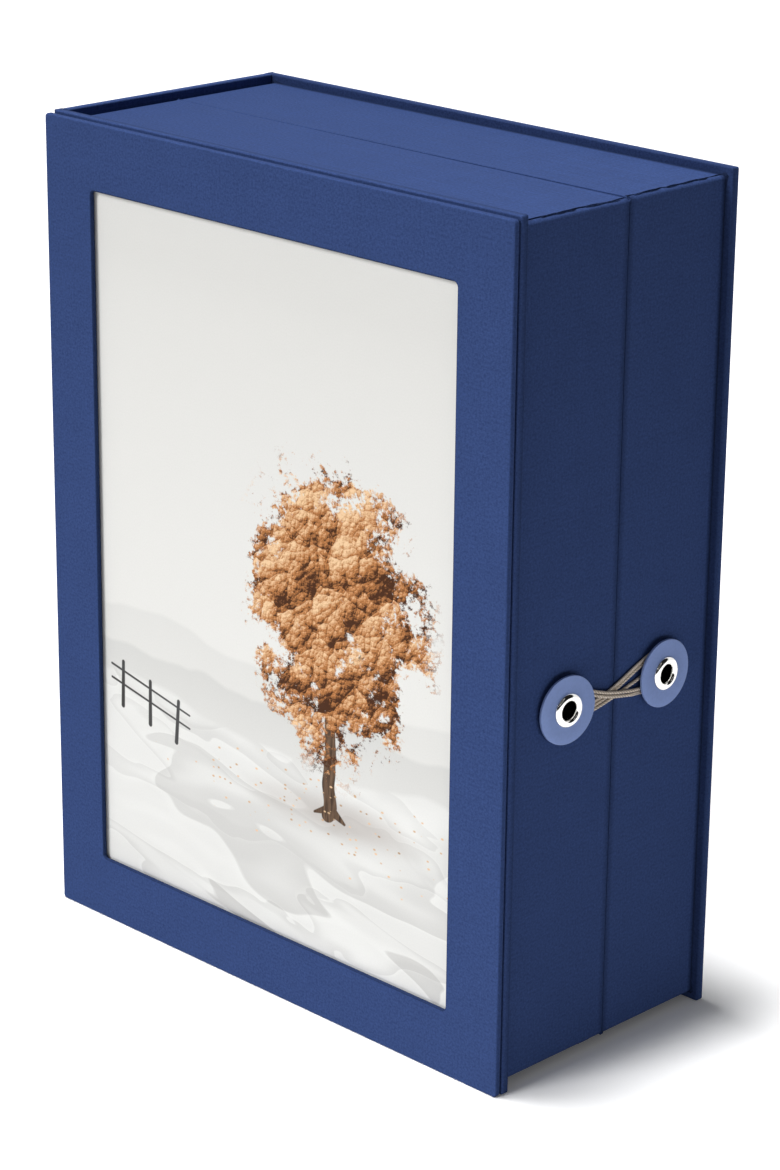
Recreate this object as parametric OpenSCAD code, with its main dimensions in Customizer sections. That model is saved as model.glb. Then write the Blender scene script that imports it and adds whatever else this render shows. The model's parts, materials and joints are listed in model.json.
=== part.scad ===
// Cloth-covered photo storage box. A three-panel case (front cover, spine, back cover) carries two
// shallow trays that meet edge to edge. The front cover has a window frame over a pocket for one
// print, and a string wound round two eyeletted card discs holds the box shut.
// It stands on its tail edge: X runs from the spine to the fore edge, Y from front to back, Z up.

/* [Print and window] */
// Width of the print that slides into the window pocket
print_w = 127; // [89:1:210]
// Height of the print
print_h = 177.8; // [127:0.1:297]
// Thickness of the print
print_t = 0.25; // [0.15:0.05:0.35]
// How far the window frame covers the print along each edge
window_lip = 4.6; // [3:0.1:8]
// Width of the window frame's border
window_border = 16; // [13:0.5:30]
// Thickness of the board inside the window frame
window_board_t = 0.9; // [0.6:0.1:2]
// Height of the pocket between the window frame and the front cover
pocket_gap = 0.5; // [0.45:0.05:1.5]
// Width that the pocket strips keep at the fore edge, where they taper
strip_tip_w = 3.5; // [2:0.5:4]

/* [Case] */
// Thickness of the case boards
board_t = 1.5; // [1:0.1:3]
// Thickness of the book cloth
cloth_t = 0.35; // [0.2:0.05:0.5]
// Width of cloth turned in over the boards' inner faces
turn_in = 15; // [8:1:25]
// Width of cloth turned in behind the window frame
window_turn_in = 6; // [3:0.5:6]
// How far the case is taller than the window frame
frame_drop = 0.6; // [0:0.1:2]
// How far the window frame overhangs the case at the spine
frame_overhang = 0.9; // [0:0.1:2]
// Rounding that the cloth gives the board edges
edge_r = 0.5; // [0.2:0.1:0.7]
// Rounding of the board corners
corner_r = 1; // [0.6:0.1:3]

/* [Trays] */
// Depth of the front tray, from the cover to its rim
front_tray_depth = 33.55; // [28:0.05:60]
// Depth of the back tray, from the cover to its rim
back_tray_depth = 31.9; // [28:0.1:60]
// Thickness of the tray wall boards
wall_t = 1.5; // [1:0.1:3]
// Thickness of the lining paper
lining_t = 0.2; // [0.1:0.05:0.4]
// Width of cloth turned over the rim into the tray
rim_turn_in = 10; // [5:1:10]
// How far the covers reach past the trays at the fore edge
fore_square = 1.8; // [1.5:0.1:8]
// How far the case reaches past the back tray at the head
head_square = 1.9; // [0.5:0.1:6]
// How much lower the front tray's head is than the back tray's
head_step = 0.3; // [0:0.1:2]
// How far the case reaches past the trays at the tail
tail_square = 2; // [0.5:0.1:6]

/* [Tie] */
// Height of the discs' centres above the tail edge
tie_z = 87.9; // [30:0.1:110]
// Distance from the seam to the front disc's centre
front_disc_to_seam = 17.5; // [14:0.1:20]
// Distance from the seam to the back disc's centre
back_disc_to_seam = 15.3; // [14:0.1:17]
// Diameter of the card discs
disc_d = 16; // [14:0.5:18]
// Thickness of the card discs
disc_t = 0.7; // [0.5:0.1:1.5]
// Angle by which the string tips the front disc
front_disc_tilt = 5.5; // [0:0.5:8]
// Diameter of the hole through the eyelets
eyelet_bore_d = 4.1; // [3:0.1:4.8]
// Diameter of the eyelets' domed flange
flange_d = 7.9; // [6.8:0.1:9]
// Height of the eyelets' domed flange
flange_h = 0.8; // [0.4:0.1:0.9]
// Diameter of the rim rolled over inside the tray
clinch_d = 7; // [6.6:0.1:8]
// Thickness of the eyelets' metal
metal_t = 0.25; // [0.15:0.05:0.3]
// Diameter of the tie string
string_d = 0.8; // [0.5:0.05:0.85]
// How far the slack turns of string ride up on the back post
slack_rise = 0.75; // [0:0.05:0.9]

/* [Clearances] */
// Gap between the two tray rims
seam_gap = 0.15; // [0.1:0.05:1]
// Gap between the spine and the trays
spine_clear = 0.9; // [0.2:0.1:2]
// Gap between the spine and each cover
cover_clear = 0.2; // [0.1:0.1:1]
// Gap between a cover's edge and the hinge cloth folded over it
joint_clear = 0.1; // [0.05:0.05:0.5]
// Gap between the print's edges and the pocket strips
print_clear = 0.4; // [0.2:0.1:1]
// How far the pocket strips are set in from the edges of the frame
strip_inset = 1.5; // [1:0.1:1.9]
// Gap between the string and what it lies on or passes under
string_clear = 0.15; // [0.1:0.05:0.2]
// Room above the string under the back disc
string_room = 0.45; // [0.4:0.05:1]
// Gap between two turns of string that lie side by side
turn_gap = 0.1; // [0.05:0.01:0.1]
// Gap round an eyelet in the tray walls
hole_clear = 0.05; // [0.02:0.01:0.1]
// Gap round an eyelet in the discs, which can tip on it
disc_clear = 0.15; // [0.1:0.01:0.2]

/* [Hidden] */
$fn = 48;

cloth_colour = [0.20, 0.28, 0.50];
board_colour = [0.55, 0.53, 0.49];
lining_colour = [0.93, 0.92, 0.89];
print_colour = [0.90, 0.87, 0.82];
disc_colour = [0.43, 0.50, 0.68];
metal_colour = [0.82, 0.82, 0.80];
string_colour = [0.72, 0.66, 0.58];

slack = 1;                       // how far cutting solids run past what they cut

// Panels
frame_w = print_w - 2 * window_lip + 2 * window_border;
frame_h = print_h - 2 * window_lip + 2 * window_border;
frame_t = window_board_t + 2 * cloth_t;
case_t = board_t + 2 * cloth_t;
case_h = frame_h + frame_drop;

// Places along X
x_left = -frame_w / 2;
x_right = frame_w / 2;
x_case = x_left + frame_overhang;
x_cover = x_case + cloth_t + joint_clear;
tray_x0 = x_case + case_t + spine_clear;
tray_x1 = x_right - fore_square;

// Places along Y
depth = frame_t + pocket_gap + 2 * case_t + front_tray_depth + seam_gap + back_tray_depth;
y_front = -depth / 2;
y_pocket = y_front + frame_t;
y_cover = y_pocket + pocket_gap;
y_front_tray = y_cover + case_t;
y_seam = y_front_tray + front_tray_depth + seam_gap / 2;
y_back = depth / 2;
y_back_tray = y_back - case_t;
y_spine = y_front_tray + cover_clear;
spine_w = y_back_tray - cover_clear - y_spine;

// Pocket strips
strip_w = window_border - window_lip - print_clear;

// Tray heads, and the layers of a tray from its outside in
front_head_z = case_h - head_square - head_step;
back_head_z = case_h - head_square;
board_in = cloth_t;
board_out = cloth_t + wall_t;
room_in = board_out + cloth_t;
floor_top = cloth_t + board_t;
wall_stack = board_out + lining_t;

// Discs and eyelets
string_r = string_d / 2;
string_level = string_r + string_clear;
string_top = string_level + string_r;
string_pitch = string_d + turn_gap;
barrel_r = eyelet_bore_d / 2 + metal_t;
hole_r = barrel_r + hole_clear;
disc_hole_r = barrel_r + disc_clear;
front_disc_y = y_seam - front_disc_to_seam;
back_disc_y = y_seam + back_disc_to_seam;
front_hole_y = front_disc_y - y_front_tray;
back_hole_y = y_back_tray - back_disc_y;
tie_span = front_disc_to_seam + back_disc_to_seam;
outer_wrap_r = barrel_r + string_top + 2 * string_pitch;
front_disc_lift = string_top + string_clear + outer_wrap_r * tan(front_disc_tilt);
back_disc_lift = string_top + string_room;

// String: where its turns lie on the two posts, and the slopes of the strands between them
rising_sag = 1.45;               // how far the strands are pulled down where they cross
falling_sag = 0.95;
knot_strand_sag = 0.55;
string_sides = 8;
strand_steps = 10;
wrap_step = 25;                  // largest angle between two points of a turn
front_post = [front_disc_y, tie_z];
back_post = [back_disc_y, tie_z];
slack_post = back_post + [0, slack_rise];
post_line = slack_post - front_post;
post_angle = atan2(post_line.y, post_line.x);
front_wraps = [for (turn = [2:-1:0]) wrap_radius(turn)];
back_wraps = [for (turn = [1:2]) wrap_radius(turn) + slack_rise];
knot_r = 1.5 * string_r;
knot_angle = 150;
knot = on_wrap(back_post, wrap_radius(0), knot_angle);
first_angle = knot_strand_angle(front_wraps[0]);
slope_1 = cross_angle(front_wraps[0], back_wraps[0]);
slope_2 = cross_angle(front_wraps[1], back_wraps[0]);
slope_3 = cross_angle(front_wraps[1], back_wraps[1]);
slope_4 = cross_angle(front_wraps[2], back_wraps[1]);
tuck_angle = -340;

// ---- Shapes that repeat ----

// A box given by its lowest and highest corners
module block(low, high) {
    translate(low) cube(high - low);
}

// A rectangle with all four corners rounded
module round_rect(size, r) {
    translate([r, 0]) square([size.x - 2 * r, size.y]);
    translate([0, r]) square([size.x, size.y - 2 * r]);
    for (x = [r, size.x - r], y = [r, size.y - r]) translate([x, y]) circle(r);
}

// A rectangle with only the two corners at its far X end rounded
module round_end_rect(size, r) {
    square([size.x - r, size.y]);
    translate([0, r]) square([size.x, size.y - 2 * r]);
    for (y = [r, size.y - r]) translate([size.x - r, y]) circle(r);
}

// Extrudes a profile drawn in X and Z along Y
module along_y(length) {
    translate([0, length, 0]) rotate([90, 0, 0]) linear_extrude(length) children();
}

// Extrudes a profile drawn in Y and Z along X
module along_x(length) {
    rotate([90, 0, 90]) linear_extrude(length) children();
}

// Turns a solid made round +Z so that it stands out of the fore-edge wall along +X
module on_fore_edge(y, lift) {
    translate([tray_x1 + lift, y, tie_z]) rotate([0, 90, 0]) children();
}

// ---- Case ----

// A cover wrapped in cloth on three sides, flush at the hinge side
module cover_blank(size) {
    intersection() {
        linear_extrude(size.z) round_end_rect([size.x, size.y], edge_r);
        along_x(size.x) round_rect([size.y, size.z], edge_r);
        along_y(size.y) round_end_rect([size.x, size.z], corner_r);
    }
}

// The board inside a cover, drawn with its outer face at Y = 0
module cover_board() {
    translate([x_cover, 0, 0])
        block([0, cloth_t, cloth_t], [x_right - x_cover - cloth_t, cloth_t + board_t, case_h - cloth_t]);
}

// The cloth round a cover: outer face, three edges and the turn-ins on the inner face
module cover_cloth() {
    w = x_right - x_cover;
    translate([x_cover, 0, 0]) difference() {
        cover_blank([w, case_t, case_h]);
        block([-slack, cloth_t, cloth_t], [w - cloth_t, cloth_t + board_t, case_h - cloth_t]);
        block([-slack, case_t / 2, turn_in], [w - turn_in, case_t + slack, case_h - turn_in]);
    }
}

module front_board() {
    color(board_colour) translate([0, y_cover, 0]) cover_board();
}

module front_cover_cloth() {
    color(cloth_colour) translate([0, y_cover, 0]) cover_cloth();
}

module back_board() {
    color(board_colour) translate([0, y_back, 0]) mirror([0, 1, 0]) cover_board();
}

module back_cover_cloth() {
    color(cloth_colour) translate([0, y_back, 0]) mirror([0, 1, 0]) cover_cloth();
}

module spine_board() {
    color(board_colour)
        block([x_case + cloth_t, y_spine, cloth_t],
            [x_case + cloth_t + board_t, y_spine + spine_w, case_h - cloth_t]);
}

// The cloth round the spine board: outer face, head and tail edges and their turn-ins
module spine_cloth() {
    color(cloth_colour) translate([x_case, y_spine, 0]) difference() {
        along_y(spine_w) round_rect([case_t, case_h], edge_r);
        block([cloth_t, -slack, cloth_t], [cloth_t + board_t, spine_w + slack, case_h - cloth_t]);
        block([case_t / 2, -slack, turn_in], [case_t + slack, spine_w + slack, case_h - turn_in]);
    }
}

// The cloth that lines the spine board between its turn-ins
module spine_lining() {
    color(cloth_colour)
        block([x_case + cloth_t + board_t, y_spine, turn_in],
            [x_case + case_t, y_spine + spine_w, case_h - turn_in]);
}

// The strips of case cloth that run from the spine over the hinge edges of the covers
module front_joint_cloth() {
    color(cloth_colour) block([x_case, y_cover, 0], [x_case + cloth_t, y_spine, case_h]);
}

module back_joint_cloth() {
    color(cloth_colour) block([x_case, y_spine + spine_w, 0], [x_case + cloth_t, y_back, case_h]);
}

// ---- Window frame, pocket and print ----

// A rectangle centred on the window, larger than it by grow on every side
module window_rect(grow) {
    w = frame_w - 2 * window_border + 2 * grow;
    h = frame_h - 2 * window_border + 2 * grow;
    translate([-w / 2, frame_h / 2 - h / 2]) square([w, h]);
}

// One bar of the frame along +X, mitred at both ends, with its outer edge at Z = 0
module mitred_bar(length) {
    intersection() {
        along_x(length) round_rect([frame_t, window_border], edge_r);
        along_y(frame_t) polygon([[0, 0], [length, 0], [length - window_border, window_border],
            [window_border, window_border]]);
    }
}

// The outside of the wrapped frame: four mitred bars, with the corners eased
module frame_blank() {
    intersection() {
        union() {
            translate([x_left, 0, 0]) mitred_bar(frame_w);
            translate([x_left, 0, frame_h]) mirror([0, 0, 1]) mitred_bar(frame_w);
            translate([x_left, 0, 0]) mirror([1, 0, 0]) rotate([0, -90, 0]) mitred_bar(frame_h);
            translate([x_right, 0, 0]) rotate([0, -90, 0]) mitred_bar(frame_h);
        }
        translate([x_left, 0, 0]) along_y(frame_t) round_rect([frame_w, frame_h], corner_r);
    }
}

module window_board() {
    color(board_colour) translate([0, y_front + cloth_t, 0]) difference() {
        block([x_left + cloth_t, 0, cloth_t], [x_right - cloth_t, window_board_t, frame_h - cloth_t]);
        translate([0, -slack, 0]) along_y(window_board_t + 2 * slack) window_rect(cloth_t);
    }
}

// The cloth round the frame board, turned in behind it from the outer and the window edges
module window_cloth() {
    color(cloth_colour) translate([0, y_front, 0]) difference() {
        frame_blank();
        difference() {
            block([x_left + cloth_t, cloth_t, cloth_t],
                [x_right - cloth_t, cloth_t + window_board_t, frame_h - cloth_t]);
            along_y(frame_t) window_rect(cloth_t);
        }
        difference() {
            block([x_left + window_turn_in, frame_t / 2, window_turn_in],
                [x_right - window_turn_in, frame_t + slack, frame_h - window_turn_in]);
            along_y(frame_t + 2 * slack) window_rect(window_turn_in);
        }
    }
}

// A card strip along the head or tail of the pocket, tapered at the fore edge to lead a print in
module pocket_strip() {
    color(board_colour) translate([0, y_pocket, 0]) along_y(pocket_gap)
        polygon([[x_left + strip_inset, strip_inset], [x_right - strip_inset, strip_inset],
            [x_right - strip_inset, strip_tip_w], [x_right - strip_w, strip_w],
            [x_left + strip_inset, strip_w]]);
}

module pocket_strip_tail() {
    pocket_strip();
}

module pocket_strip_head() {
    translate([0, 0, frame_h]) mirror([0, 0, 1]) pocket_strip();
}

module pocket_strip_spine() {
    color(board_colour)
        block([x_left + strip_inset, y_pocket, strip_w],
            [x_left + strip_w, y_cover, frame_h - strip_w]);
}

module photo_print() {
    color(print_colour) translate([0, y_pocket + (pocket_gap - print_t) / 2, frame_h / 2])
        block([-print_w / 2, 0, -print_h / 2], [print_w / 2, print_t, print_h / 2]);
}

// ---- Trays, drawn with the base at Y = 0 and the rim at Y = tray depth ----

// A block as wide and high as the tray, made smaller by inset on every side
module tray_block(inset, head_z, y0, y1) {
    block([tray_x0 + inset, y0, tail_square + inset], [tray_x1 - inset, y1, head_z - inset]);
}

module tray_blank(deep, head_z) {
    w = tray_x1 - tray_x0;
    h = head_z - tail_square;
    translate([tray_x0, 0, tail_square]) intersection() {
        along_y(deep) round_rect([w, h], corner_r);
        linear_extrude(h) translate([w, 0]) rotate(90) round_end_rect([deep, w], edge_r);
        along_x(w) round_end_rect([deep, h], edge_r);
    }
}

// The hole for an eyelet through a tray's fore-edge wall
module eyelet_hole(y) {
    translate([tray_x1 - wall_stack - slack, y, tie_z]) rotate([0, 90, 0])
        cylinder(h = wall_stack + 2 * slack, r = hole_r);
}

// Cloth round the walls, over the rim and under the base
module tray_cloth(deep, head_z, hole_y) {
    difference() {
        tray_blank(deep, head_z);
        difference() {
            tray_block(board_in, head_z, cloth_t, deep - cloth_t);
            tray_block(board_out, head_z, deep - rim_turn_in, deep);
        }
        tray_block(room_in, head_z, deep - rim_turn_in - slack, deep + slack);
        tray_block(turn_in, head_z, -slack, cloth_t + slack);
        eyelet_hole(hole_y);
    }
}

module tray_floor(head_z) {
    tray_block(board_out, head_z, cloth_t, floor_top);
}

module tray_head_wall(deep, head_z) {
    block([tray_x0 + board_in, cloth_t, head_z - board_out],
        [tray_x1 - board_in, deep - cloth_t, head_z - board_in]);
}

module tray_tail_wall(deep) {
    block([tray_x0 + board_in, cloth_t, tail_square + board_in],
        [tray_x1 - board_in, deep - cloth_t, tail_square + board_out]);
}

module tray_spine_wall(deep, head_z) {
    block([tray_x0 + board_in, cloth_t, tail_square + board_out],
        [tray_x0 + board_out, deep - cloth_t, head_z - board_out]);
}

module tray_fore_wall(deep, head_z, hole_y) {
    difference() {
        block([tray_x1 - board_out, cloth_t, tail_square + board_out],
            [tray_x1 - board_in, deep - cloth_t, head_z - board_out]);
        eyelet_hole(hole_y);
    }
}

module tray_lining(deep, head_z, hole_y) {
    difference() {
        tray_block(board_out, head_z, floor_top, deep - rim_turn_in);
        tray_block(board_out + lining_t, head_z, floor_top + lining_t, deep);
        eyelet_hole(hole_y);
    }
}

// Sets a tray piece on the front cover, or turned round on the back cover
module front_side() {
    translate([0, y_front_tray, 0]) children();
}

module back_side() {
    translate([0, y_back_tray, 0]) mirror([0, 1, 0]) children();
}

module front_tray_floor() {
    color(board_colour) front_side() tray_floor(front_head_z);
}

module front_tray_head_wall() {
    color(board_colour) front_side() tray_head_wall(front_tray_depth, front_head_z);
}

module front_tray_tail_wall() {
    color(board_colour) front_side() tray_tail_wall(front_tray_depth);
}

module front_tray_fore_wall() {
    color(board_colour) front_side() tray_fore_wall(front_tray_depth, front_head_z, front_hole_y);
}

module front_tray_spine_wall() {
    color(board_colour) front_side() tray_spine_wall(front_tray_depth, front_head_z);
}

module front_tray_cloth() {
    color(cloth_colour) front_side() tray_cloth(front_tray_depth, front_head_z, front_hole_y);
}

module front_tray_lining() {
    color(lining_colour) front_side() tray_lining(front_tray_depth, front_head_z, front_hole_y);
}

module back_tray_floor() {
    color(board_colour) back_side() tray_floor(back_head_z);
}

module back_tray_head_wall() {
    color(board_colour) back_side() tray_head_wall(back_tray_depth, back_head_z);
}

module back_tray_tail_wall() {
    color(board_colour) back_side() tray_tail_wall(back_tray_depth);
}

module back_tray_fore_wall() {
    color(board_colour) back_side() tray_fore_wall(back_tray_depth, back_head_z, back_hole_y);
}

module back_tray_spine_wall() {
    color(board_colour) back_side() tray_spine_wall(back_tray_depth, back_head_z);
}

module back_tray_cloth() {
    color(cloth_colour) back_side() tray_cloth(back_tray_depth, back_head_z, back_hole_y);
}

module back_tray_lining() {
    color(lining_colour) back_side() tray_lining(back_tray_depth, back_head_z, back_hole_y);
}

// ---- Discs and eyelets, drawn round +Z with the wall at Z = 0 ----

// A card disc whose underside is lift above the wall; tilt tips its seam side outwards
module disc(lift, tilt) {
    translate([0, 0, lift]) rotate([tilt, 0, 0]) difference() {
        cylinder(h = disc_t, d = disc_d);
        translate([0, 0, -slack]) cylinder(h = disc_t + 2 * slack, r = disc_hole_r);
    }
}

// A domed ring from the eyelet's bore out to radius r
module domed_ring(r, high) {
    half = (r - eyelet_bore_d / 2) / 2;
    dome_r = (half * half + high * high) / (2 * high);
    rotate_extrude() intersection() {
        translate([eyelet_bore_d / 2 + half, high - dome_r]) circle(dome_r);
        translate([eyelet_bore_d / 2, 0]) square([2 * half, high]);
    }
}

// An eyelet: barrel through the wall and the disc, flange on the disc, rim rolled over inside
module eyelet(lift, tilt) {
    joined = flange_h / 3;           // how far the barrel runs up into the flange
    difference() {
        union() {
            translate([0, 0, lift]) rotate([tilt, 0, 0]) translate([0, 0, disc_t])
                domed_ring(flange_d / 2, flange_h);
            translate([0, 0, -wall_stack - metal_t])
                cylinder(h = wall_stack + metal_t + lift + disc_t + joined, r = barrel_r);
            translate([0, 0, -wall_stack]) mirror([0, 0, 1]) domed_ring(clinch_d / 2, flange_h);
        }
        translate([0, 0, -wall_stack - slack])
            cylinder(h = wall_stack + lift + disc_t + flange_h + 2 * slack, d = eyelet_bore_d);
    }
}

module front_disc() {
    color(disc_colour) on_fore_edge(front_disc_y, 0) disc(front_disc_lift, front_disc_tilt);
}

module front_eyelet() {
    color(metal_colour) on_fore_edge(front_disc_y, 0) eyelet(front_disc_lift, front_disc_tilt);
}

module back_disc() {
    color(disc_colour) on_fore_edge(back_disc_y, 0) disc(back_disc_lift, 0);
}

module back_eyelet() {
    color(metal_colour) on_fore_edge(back_disc_y, 0) eyelet(back_disc_lift, 0);
}

// ---- String ----
// It is tied round the back eyelet, wound in a figure of eight round both, and tucked in under the
// front disc. Strands that fall towards the back cross over those that rise. The turns round the
// back eyelet are a little slack, so they lie round a point above it.

// Radius of a turn round a post; turn 0 lies against the barrel
function wrap_radius(turn) = barrel_r + string_level + turn * string_pitch;

// The point at angle a on a turn of radius r, in Y and Z
function on_wrap(post, r, a) = post + r * [cos(a), sin(a)];

// Angle between the line of the posts and a strand that crosses from one wrap to the other
function cross_angle(r_front, r_back) = asin((r_front + r_back) / norm(post_line));

// Angle on the front post at which a strand from the knot meets a wrap of radius r
function knot_strand_angle(r) =
    let (d = knot - front_post, span = norm(d))
    atan2(d.y, d.x) - 90 + asin(r / span);

// How far the strands that cross over are lifted, as a share, at t between the posts
function lift_share(t) = max(0, min(1, (0.3 - abs(t - 0.5)) * 10));

// How far a strand is pulled down, as a share, at y between the posts: most where they cross
function sag_share(y) = pow(sin(180 * pow((y - front_disc_y) / tie_span, 0.85)), 3);

// A strand from p to q: it sags at the crossing, and over = 1 lifts it clear of the others
function strand(p, q, over, sag) = [
    for (i = [0:strand_steps])
        let (t = i / strand_steps, flat = p + (q - p) * t)
        [tray_x1 + string_level + over * string_pitch * lift_share(t),
            flat.x, flat.y - sag * sag_share(flat.x)]];

// The points strictly between the ends of a turn round a post
function turn_round(post, r, from, to) =
    let (steps = ceil(abs(to - from) / wrap_step)) [
        for (i = [1:steps - 1])
            let (flat = on_wrap(post, r, from + (to - from) * i / steps))
            [tray_x1 + string_level, flat.x, flat.y]];

// Where a strand leaves a wrap on the front post, over its top or under it, and on the back post
function front_top(wrap, angle) = on_wrap(front_post, wrap, post_angle + 90 - angle);
function front_foot(wrap, angle) = on_wrap(front_post, wrap, post_angle - 90 + angle);
function back_top(wrap, angle) = on_wrap(slack_post, wrap, post_angle + 90 + angle);
function back_foot(wrap, angle) = on_wrap(slack_post, wrap, post_angle - 90 - angle);

// A turn round the front post, from one angle to the top on its far side
function front_turn(wrap, from, angle) =
    turn_round(front_post, wrap, from, post_angle - 270 - angle);

// A turn round the back post, from its foot to its top
function back_turn(wrap, from, to) =
    turn_round(slack_post, wrap, post_angle - 90 - from, post_angle + 90 + to);

// The whole route of the string, from its knot to its tucked end
function string_route() = concat(
    strand(knot, on_wrap(front_post, front_wraps[0], first_angle), 0, knot_strand_sag),
    front_turn(front_wraps[0], first_angle, slope_1),
    strand(front_top(front_wraps[0], slope_1), back_foot(back_wraps[0], slope_1), 1, falling_sag),
    back_turn(back_wraps[0], slope_1, slope_2),
    strand(back_top(back_wraps[0], slope_2), front_foot(front_wraps[1], slope_2), 0, rising_sag),
    front_turn(front_wraps[1], post_angle - 90 + slope_2, slope_3),
    strand(front_top(front_wraps[1], slope_3), back_foot(back_wraps[1], slope_3), 1, falling_sag),
    back_turn(back_wraps[1], slope_3, slope_4),
    strand(back_top(back_wraps[1], slope_4), front_foot(front_wraps[2], slope_4), 0, rising_sag),
    turn_round(front_post, front_wraps[2], post_angle - 90 + slope_4, tuck_angle));

// Sweeps a round tube along a route that never runs parallel to X
module tube(route, r) {
    last = len(route) - 1;
    sides = string_sides;
    rings = [
        for (i = [0:last])
            let (ahead = route[min(i + 1, last)] - route[max(i - 1, 0)],
                along = ahead / norm(ahead),
                side = cross([1, 0, 0], along) / norm(cross([1, 0, 0], along)),
                up = cross(along, side))
            for (k = [0:sides - 1])
                let (a = 360 * k / sides)
                route[i] + r * (cos(a) * side + sin(a) * up)];
    walls = [
        for (i = [0:last - 1], k = [0:sides - 1])
            let (next = (k + 1) % sides)
            [i * sides + k, (i + 1) * sides + k, (i + 1) * sides + next, i * sides + next]];
    start_cap = [for (k = [0:sides - 1]) k];
    end_cap = [for (k = [sides - 1:-1:0]) last * sides + k];
    polyhedron(points = rings, faces = concat(walls, [start_cap], [end_cap]), convexity = 10);
}

module tie_string() {
    color(string_colour) tube(string_route(), string_r);
}

// The loop of string round the back eyelet and the knot that closes it
module tie_loop() {
    color(string_colour) {
        on_fore_edge(back_disc_y, string_level) rotate_extrude()
            translate([wrap_radius(0), 0]) circle(string_r, $fn = 24);
        translate([tray_x1 + string_level, knot.x, knot.y]) sphere(knot_r);
    }
}

front_board();
front_cover_cloth();
window_board();
window_cloth();
pocket_strip_head();
pocket_strip_tail();
pocket_strip_spine();
photo_print();
front_joint_cloth();
spine_board();
spine_cloth();
spine_lining();
back_joint_cloth();
back_board();
back_cover_cloth();
front_tray_floor();
front_tray_head_wall();
front_tray_tail_wall();
front_tray_fore_wall();
front_tray_spine_wall();
front_tray_cloth();
front_tray_lining();
back_tray_floor();
back_tray_head_wall();
back_tray_tail_wall();
back_tray_fore_wall();
back_tray_spine_wall();
back_tray_cloth();
back_tray_lining();
front_disc();
front_eyelet();
back_disc();
back_eyelet();
tie_loop();
tie_string();
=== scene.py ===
import bpy
import bmesh
import json
import random
from math import asin, atan2, copysign, cos, degrees, hypot, pi, radians, sin, tau
from mathutils import Matrix, Vector
from mathutils.kdtree import KDTree
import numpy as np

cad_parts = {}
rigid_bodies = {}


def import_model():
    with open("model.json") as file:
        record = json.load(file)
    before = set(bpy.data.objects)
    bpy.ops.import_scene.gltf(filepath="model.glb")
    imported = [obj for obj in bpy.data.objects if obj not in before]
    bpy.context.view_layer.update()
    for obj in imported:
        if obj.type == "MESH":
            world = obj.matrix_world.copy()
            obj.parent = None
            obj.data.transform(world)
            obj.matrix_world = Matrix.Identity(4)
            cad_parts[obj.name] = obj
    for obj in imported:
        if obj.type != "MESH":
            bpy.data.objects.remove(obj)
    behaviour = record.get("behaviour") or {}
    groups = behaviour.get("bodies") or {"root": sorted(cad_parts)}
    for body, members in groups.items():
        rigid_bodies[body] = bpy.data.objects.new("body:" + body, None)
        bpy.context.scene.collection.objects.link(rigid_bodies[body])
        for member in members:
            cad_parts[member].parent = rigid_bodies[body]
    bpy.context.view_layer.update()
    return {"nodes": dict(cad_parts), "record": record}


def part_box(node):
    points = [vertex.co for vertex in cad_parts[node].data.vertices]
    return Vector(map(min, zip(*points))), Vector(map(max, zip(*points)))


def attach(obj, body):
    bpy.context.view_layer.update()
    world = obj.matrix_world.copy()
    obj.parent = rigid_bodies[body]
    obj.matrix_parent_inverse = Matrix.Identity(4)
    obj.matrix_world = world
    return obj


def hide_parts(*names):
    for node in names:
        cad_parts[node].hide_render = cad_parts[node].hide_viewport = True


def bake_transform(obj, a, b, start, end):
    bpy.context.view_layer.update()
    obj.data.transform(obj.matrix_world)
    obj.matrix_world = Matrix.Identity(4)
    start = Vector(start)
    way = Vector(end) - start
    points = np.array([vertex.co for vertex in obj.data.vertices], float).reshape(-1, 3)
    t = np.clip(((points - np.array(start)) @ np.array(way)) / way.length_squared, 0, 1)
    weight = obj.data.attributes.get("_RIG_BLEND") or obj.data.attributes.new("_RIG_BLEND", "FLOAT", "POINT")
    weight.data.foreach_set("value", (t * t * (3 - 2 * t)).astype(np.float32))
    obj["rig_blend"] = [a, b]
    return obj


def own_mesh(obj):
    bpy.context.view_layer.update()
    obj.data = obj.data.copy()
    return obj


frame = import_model()
scene = bpy.context.scene
print("frame loaded:", len(frame["nodes"]), "nodes")


nearby = 1e-6  # what counts as the same place, in metres


def addObject(name, data):
    thing = bpy.data.objects.new(name, data)
    scene.collection.objects.link(thing)
    return thing


def meshFrom(name, bm):
    mesh = bpy.data.meshes.new(name)
    bm.normal_update()
    bm.to_mesh(mesh)
    bm.free()
    return mesh


def finishPiece(name, bm, material, body=None, nodes=(), sharpAngle=40, extraMaterials=(),
                even=False):
    # the mesh is already in its place, so the object stays at the origin
    mesh = meshFrom(name, bm)
    mesh.polygons.foreach_set("use_smooth", [True] * len(mesh.polygons))
    mesh.set_sharp_from_angle(angle=radians(sharpAngle))
    piece = addObject(name, mesh)
    for each in (material, *extraMaterials):
        mesh.materials.append(each)
    if even:
        evenShading(piece)
    if body:
        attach(piece, body)
    if nodes:
        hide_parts(*nodes)
    return piece


def evenShading(piece):
    # large flats stay flat and only the rounded edges turn the light
    weighted = piece.modifiers.new("evenShading", "WEIGHTED_NORMAL")
    weighted.mode = "FACE_AREA"
    weighted.weight = 100
    weighted.keep_sharp = True


def boxMesh(low, high):
    bm = bmesh.new()
    bmesh.ops.create_cube(bm, size=1)
    low, high = Vector(low), Vector(high)
    bmesh.ops.scale(bm, vec=high - low, verts=bm.verts)
    bmesh.ops.translate(bm, vec=(low + high) / 2, verts=bm.verts)
    return bm


def edgesAlong(bm, axis):
    return [e for e in bm.edges if abs((e.verts[1].co - e.verts[0].co).normalized()[axis]) > 0.999]


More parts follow.
